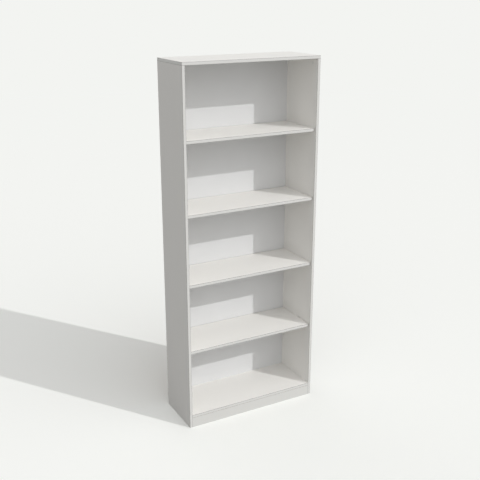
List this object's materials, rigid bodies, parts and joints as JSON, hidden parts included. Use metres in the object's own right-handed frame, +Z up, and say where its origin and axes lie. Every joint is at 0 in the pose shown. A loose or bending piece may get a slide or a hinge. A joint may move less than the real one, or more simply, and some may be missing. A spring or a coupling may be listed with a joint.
{
  "type": "open bookcase",
  "caption": "Tall white open bookcase: boards with banded edges, top laid over the sides, plinth, thin back and loose shelves on pins that draw out to the front.",
  "frame": {"origin": "on the floor, under the middle of the overall width and depth", "axes": "+X across the width to the right as seen from the front, +Y from the open front to the back, +Z up"},
  "size_m": [0.8, 0.303, 2],
  "materials": {
    "white_board": "warm white melamine facing, satin, on chipboard",
    "white_edge": "white plastic edge band, satin",
    "white_back": "hardboard, white lacquered face, raw brown rear",
    "plated_steel": "bright zinc or nickel plating",
    "cast_zinc": "as cast, dull",
    "beech": "bare beech, fluted",
    "white_cap": "moulded, satin"
  },
  "bodies": {
    "case": {"left_side": "white_board", "right_side": "white_board", "top_board": "white_board", "bottom_board": "white_board", "plinth": "white_board", "back_panel": "white_back", "left_side_band": "white_edge", "right_side_band": "white_edge", "top_front_band": "white_edge", "top_left_band": "white_edge", "top_right_band": "white_edge", "bottom_band": "white_edge", "top_cams": "cast_zinc", "bottom_cams": "cast_zinc", "plinth_cams": "cast_zinc", "top_cam_bolts": "plated_steel", "bottom_cam_bolts": "plated_steel", "plinth_cam_bolts": "plated_steel", "top_dowels": "beech", "bottom_dowels": "beech", "plinth_end_dowels": "beech", "plinth_top_dowels": "beech", "top_cam_caps": "white_cap", "shelf_pins_1": "plated_steel", "shelf_pins_2": "plated_steel", "shelf_pins_3": "plated_steel", "shelf_pins_4": "plated_steel", "back_nails": "plated_steel", "wall_brackets": "plated_steel", "bracket_screws": "plated_steel"},
    "loose_shelf_1": {"shelf_1": "white_board", "shelf_band_1": "white_edge"},
    "loose_shelf_2": {"shelf_2": "white_board", "shelf_band_2": "white_edge"},
    "loose_shelf_3": {"shelf_3": "white_board", "shelf_band_3": "white_edge"},
    "loose_shelf_4": {"shelf_4": "white_board", "shelf_band_4": "white_edge"}
  },
  "joints": [
    {"name": "shelf_1_pull", "type": "slide", "parent": "case", "child": "loose_shelf_1", "axis": [0, -1, 0], "range_m": [0, 0.25]},
    {"name": "shelf_2_pull", "type": "slide", "parent": "case", "child": "loose_shelf_2", "axis": [0, -1, 0], "range_m": [0, 0.25]},
    {"name": "shelf_3_pull", "type": "slide", "parent": "case", "child": "loose_shelf_3", "axis": [0, -1, 0], "range_m": [0, 0.25]},
    {"name": "shelf_4_pull", "type": "slide", "parent": "case", "child": "loose_shelf_4", "axis": [0, -1, 0], "range_m": [0, 0.25]}
  ]
}
